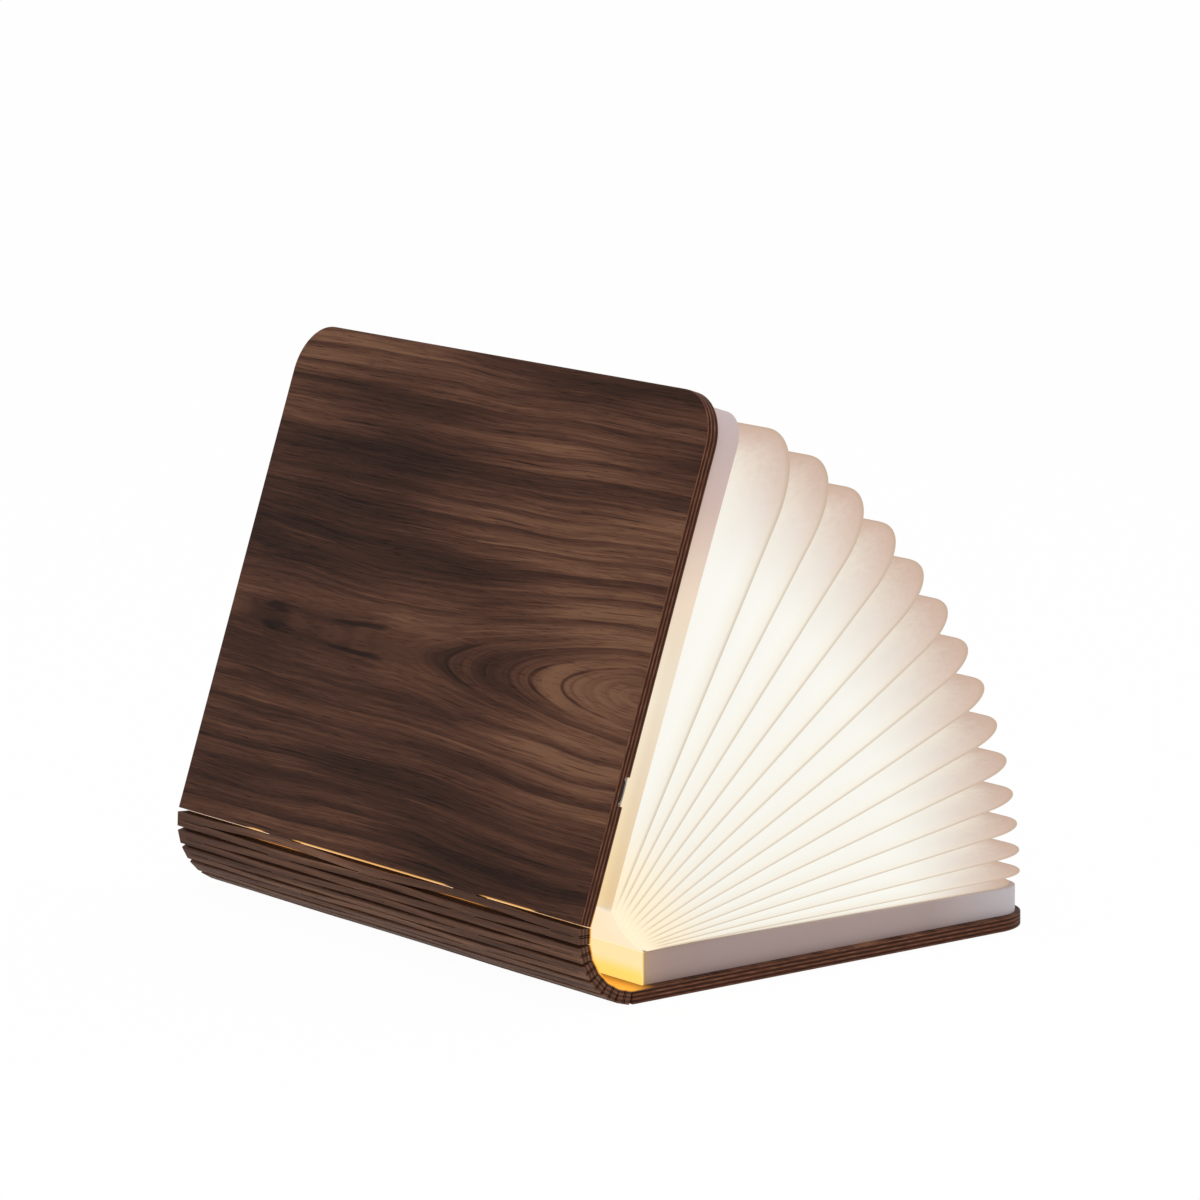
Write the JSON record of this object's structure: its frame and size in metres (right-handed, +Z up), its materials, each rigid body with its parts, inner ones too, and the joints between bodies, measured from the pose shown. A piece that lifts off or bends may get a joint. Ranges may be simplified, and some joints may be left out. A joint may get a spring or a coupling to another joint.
{
  "type": "folding book lamp",
  "caption": "Folding lamp shaped like a hardback book: wooden covers joined by a slatted wooden spine, with a fan of pleated paper leaves between them that is lit from inside.",
  "frame": {"origin": "middle of the base cover's underside, where the lamp rests on a table", "axes": "+Z up; +Y along the spine, the longest way; +X from the spine towards the fore-edge of the base cover"},
  "size_m": [0.1836, 0.215, 0.1812],
  "materials": {
    "veneer": "walnut veneer, oiled, fine streaks along the spine",
    "ply_core": "cross-laid plies with laser-browned edges",
    "slat_wood": "plywood slats with laser-browned cuts",
    "shell_white": "white, matt",
    "diffuser": "opal, matt",
    "paper": "white tear-resistant synthetic paper, matt, lit from inside",
    "steel": "plain sheet steel",
    "magnet": "nickel-plated neodymium",
    "cell": "soft pouch in film",
    "board_green": "circuit board with green mask",
    "board_white": "circuit board with white mask",
    "chip_black": "moulded components",
    "led": "phosphor-filled",
    "socket_metal": "drawn steel shell",
    "wire": "insulated leads",
    "channel": "bare extrusion"
  },
  "bodies": {
    "base": {"base_outer_veneer": "veneer", "base_core": "ply_core", "base_inner_veneer": "veneer", "base_tray": "shell_white", "base_lid": "shell_white", "ballast_plate": "steel", "base_magnets": "magnet", "trigger_magnet": "magnet", "spine_sheet": "paper", "pleat_15": "paper"},
    "slat_1": {"slat_1": "slat_wood"},
    "slat_2": {"slat_2": "slat_wood"},
    "slat_3": {"slat_3": "slat_wood"},
    "slat_4": {"slat_4": "slat_wood"},
    "slat_5": {"slat_5": "slat_wood"},
    "slat_6": {"slat_6": "slat_wood"},
    "front_cover": {"front_outer_veneer": "veneer", "front_core": "ply_core", "front_inner_veneer": "veneer", "front_tray": "shell_white", "front_lid": "shell_white", "front_magnets": "magnet", "battery": "cell", "control_board": "board_green", "board_chips": "chip_black", "usb_socket": "socket_metal", "hall_sensor": "chip_black", "lead_wires": "wire", "light_channel": "channel", "light_board": "board_white", "light_chips": "led", "light_diffuser": "diffuser"},
    "leaf_1": {"crease_1": "paper", "pleat_1": "paper"},
    "leaf_2": {"crease_2": "paper", "pleat_2": "paper"},
    "leaf_3": {"crease_3": "paper", "pleat_3": "paper"},
    "leaf_4": {"crease_4": "paper", "pleat_4": "paper"},
    "leaf_5": {"crease_5": "paper", "pleat_5": "paper"},
    "leaf_6": {"crease_6": "paper", "pleat_6": "paper"},
    "leaf_7": {"crease_7": "paper", "pleat_7": "paper"},
    "leaf_8": {"crease_8": "paper", "pleat_8": "paper"},
    "leaf_9": {"crease_9": "paper", "pleat_9": "paper"},
    "leaf_10": {"crease_10": "paper", "pleat_10": "paper"},
    "leaf_11": {"crease_11": "paper", "pleat_11": "paper"},
    "leaf_12": {"crease_12": "paper", "pleat_12": "paper"},
    "leaf_13": {"crease_13": "paper", "pleat_13": "paper"},
    "leaf_14": {"crease_14": "paper", "pleat_14": "paper"}
  },
  "joints": [
    {"name": "slat_1_hinge", "type": "hinge", "parent": "base", "child": "slat_1", "pos_m": [-0.08152, 0, 0.00402], "axis": [0, 1, 0], "range_deg": [-3.47, 10.12], "deforming": ["spine_sheet"]},
    {"name": "slat_2_hinge", "type": "hinge", "parent": "base", "child": "slat_2", "pos_m": [-0.08386, 0, 0.0049], "axis": [0, 1, 0], "range_deg": [-6.92, 20.24]},
    {"name": "slat_3_hinge", "type": "hinge", "parent": "base", "child": "slat_3", "pos_m": [-0.08592, 0, 0.0063], "axis": [0, 1, 0], "range_deg": [-10.38, 30.35]},
    {"name": "slat_4_hinge", "type": "hinge", "parent": "base", "child": "slat_4", "pos_m": [-0.08756, 0, 0.00813], "axis": [0, 1, 0], "range_deg": [-13.84, 40.47]},
    {"name": "cover_hinge", "type": "hinge", "parent": "slat_4", "child": "front_cover", "pos_m": [-0.09637, 0, 0.02109], "axis": [0, 1, 0], "range_deg": [-10.37, 30.34]},
    {"name": "slat_5_hinge", "type": "hinge", "parent": "front_cover", "child": "slat_5", "pos_m": [-0.09702, 0, 0.02349], "axis": [0, 1, 0], "range_deg": [-20.24, 6.92]},
    {"name": "slat_6_hinge", "type": "hinge", "parent": "front_cover", "child": "slat_6", "pos_m": [-0.09709, 0, 0.026], "axis": [0, 1, 0], "range_deg": [-10.12, 3.47]},
    {"name": "seam_1", "type": "hinge", "parent": "front_cover", "child": "leaf_1", "pos_m": [-0.09706, 0, 0.02594], "axis": [0, 1, 0], "range_deg": [-10.38, 4.25], "deforming": ["pleat_1"]},
    {"name": "seam_2", "type": "hinge", "parent": "leaf_1", "child": "leaf_2", "pos_m": [-0.09733, 0, 0.0216], "axis": [0, 1, 0], "range_deg": [-6.99, 2.86], "deforming": ["pleat_2"]},
    {"name": "seam_3", "type": "hinge", "parent": "leaf_2", "child": "leaf_3", "pos_m": [-0.09713, 0, 0.01983], "axis": [0, 1, 0], "range_deg": [-6.75, 2.77], "deforming": ["pleat_3"]},
    {"name": "seam_4", "type": "hinge", "parent": "leaf_3", "child": "leaf_4", "pos_m": [-0.09633, 0, 0.01606], "axis": [0, 1, 0], "range_deg": [-6.5, 2.66], "deforming": ["pleat_4"]},
    {"name": "seam_5", "type": "hinge", "parent": "leaf_4", "child": "leaf_5", "pos_m": [-0.09521, 0, 0.01392], "axis": [0, 1, 0], "range_deg": [-6.24, 2.56], "deforming": ["pleat_5"]},
    {"name": "seam_6", "type": "hinge", "parent": "leaf_5", "child": "leaf_6", "pos_m": [-0.09402, 0, 0.01163], "axis": [0, 1, 0], "range_deg": [-5.97, 2.45], "deforming": ["pleat_6"]},
    {"name": "seam_7", "type": "hinge", "parent": "leaf_6", "child": "leaf_7", "pos_m": [-0.09198, 0, 0.00946], "axis": [0, 1, 0], "range_deg": [-5.67, 2.33], "deforming": ["pleat_7"]},
    {"name": "seam_8", "type": "hinge", "parent": "leaf_7", "child": "leaf_8", "pos_m": [-0.09059, 0, 0.00799], "axis": [0, 1, 0], "range_deg": [-5.36, 2.2], "deforming": ["pleat_8"]},
    {"name": "seam_9", "type": "hinge", "parent": "leaf_8", "child": "leaf_9", "pos_m": [-0.08848, 0, 0.00671], "axis": [0, 1, 0], "range_deg": [-5.03, 2.06], "deforming": ["pleat_9"]},
    {"name": "seam_10", "type": "hinge", "parent": "leaf_9", "child": "leaf_10", "pos_m": [-0.08632, 0, 0.00539], "axis": [0, 1, 0], "range_deg": [-4.66, 1.91], "deforming": ["pleat_10"]},
    {"name": "seam_11", "type": "hinge", "parent": "leaf_10", "child": "leaf_11", "pos_m": [-0.08617, 0, 0.00535], "axis": [0, 1, 0], "range_deg": [-4.26, 1.75], "deforming": ["pleat_11"]},
    {"name": "seam_12", "type": "hinge", "parent": "leaf_11", "child": "leaf_12", "pos_m": [-0.0815, 0, 0.00405], "axis": [0, 1, 0], "range_deg": [-3.8, 1.56], "deforming": ["pleat_12"]},
    {"name": "seam_13", "type": "hinge", "parent": "leaf_12", "child": "leaf_13", "pos_m": [-0.0815, 0, 0.00405], "axis": [0, 1, 0], "range_deg": [-3.27, 1.34], "deforming": ["pleat_13"]},
    {"name": "seam_14", "type": "hinge", "parent": "leaf_13", "child": "leaf_14", "pos_m": [-0.0815, 0, 0.00405], "axis": [0, 1, 0], "range_deg": [-2.59, 1.06], "deforming": ["pleat_14", "pleat_15"]}
  ],
  "couplings": [
    {"joint": "slat_1_hinge", "follows": "cover_hinge", "ratio": 0.33333},
    {"joint": "slat_2_hinge", "follows": "cover_hinge", "ratio": 0.66667},
    {"joint": "slat_3_hinge", "follows": "cover_hinge", "ratio": 1},
    {"joint": "slat_4_hinge", "follows": "cover_hinge", "ratio": 1.3333},
    {"joint": "slat_5_hinge", "follows": "cover_hinge", "ratio": -0.66667},
    {"joint": "slat_6_hinge", "follows": "cover_hinge", "ratio": -0.33333},
    {"joint": "seam_1", "follows": "cover_hinge", "ratio": -0.30658},
    {"joint": "seam_2", "follows": "cover_hinge", "ratio": -0.2065},
    {"joint": "seam_3", "follows": "cover_hinge", "ratio": -0.19946},
    {"joint": "seam_4", "follows": "cover_hinge", "ratio": -0.19212},
    {"joint": "seam_5", "follows": "cover_hinge", "ratio": -0.18441},
    {"joint": "seam_6", "follows": "cover_hinge", "ratio": -0.17628},
    {"joint": "seam_7", "follows": "cover_hinge", "ratio": -0.16767},
    {"joint": "seam_8", "follows": "cover_hinge", "ratio": -0.15848},
    {"joint": "seam_9", "follows": "cover_hinge", "ratio": -0.14859},
    {"joint": "seam_10", "follows": "cover_hinge", "ratio": -0.13782},
    {"joint": "seam_11", "follows": "cover_hinge", "ratio": -0.1259},
    {"joint": "seam_12", "follows": "cover_hinge", "ratio": -0.11239},
    {"joint": "seam_13", "follows": "cover_hinge", "ratio": -0.096524},
    {"joint": "seam_14", "follows": "cover_hinge", "ratio": -0.076469}
  ]
}
